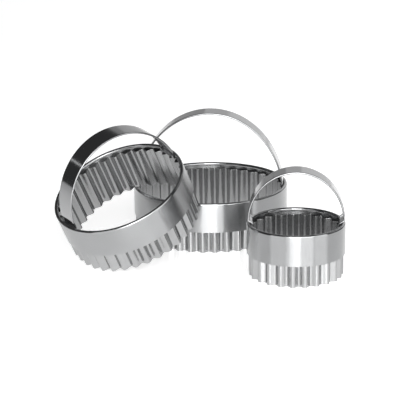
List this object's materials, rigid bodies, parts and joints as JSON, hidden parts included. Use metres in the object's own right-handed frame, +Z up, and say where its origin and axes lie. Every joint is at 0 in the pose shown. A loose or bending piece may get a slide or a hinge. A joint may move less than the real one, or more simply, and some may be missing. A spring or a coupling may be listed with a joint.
{
  "type": "biscuit cutter",
  "caption": "Set of round fluted biscuit cutters with smooth rolled-rim collars, corrugated cutting rings and flat strap handles, one leaning on another.",
  "frame": {"origin": "middle of the footprint box of the whole set, on the surface it stands on", "axes": "+Z up, +X to the right as the picture shows the set, +Y away from the viewer"},
  "size_m": [0.1562, 0.1474, 0.0753],
  "materials": {
    "polished_collar": "bright polished stainless steel",
    "fluted_steel": "bright stainless steel with faint rolling marks",
    "strap_steel": "polished strap with fine lengthwise marks",
    "weld_spot": "dull spot weld"
  },
  "bodies": {
    "large_cutter": {"large_collar": "polished_collar", "large_fluted_blade": "fluted_steel", "large_handle": "strap_steel", "large_handle_welds": "weld_spot", "large_blade_welds": "weld_spot"},
    "medium_cutter": {"medium_collar": "polished_collar", "medium_fluted_blade": "fluted_steel", "medium_handle": "strap_steel", "medium_handle_welds": "weld_spot", "medium_blade_welds": "weld_spot"},
    "small_cutter": {"small_collar": "polished_collar", "small_fluted_blade": "fluted_steel", "small_handle": "strap_steel", "small_handle_welds": "weld_spot", "small_blade_welds": "weld_spot"}
  },
  "joints": [
    {"name": "medium_cutter_lift", "type": "slide", "parent": "large_cutter", "child": "medium_cutter", "axis": [0, 0, 1], "range_m": [0, 0.1]},
    {"name": "small_cutter_lift", "type": "slide", "parent": "large_cutter", "child": "small_cutter", "axis": [0, 0, 1], "range_m": [0, 0.1]}
  ]
}
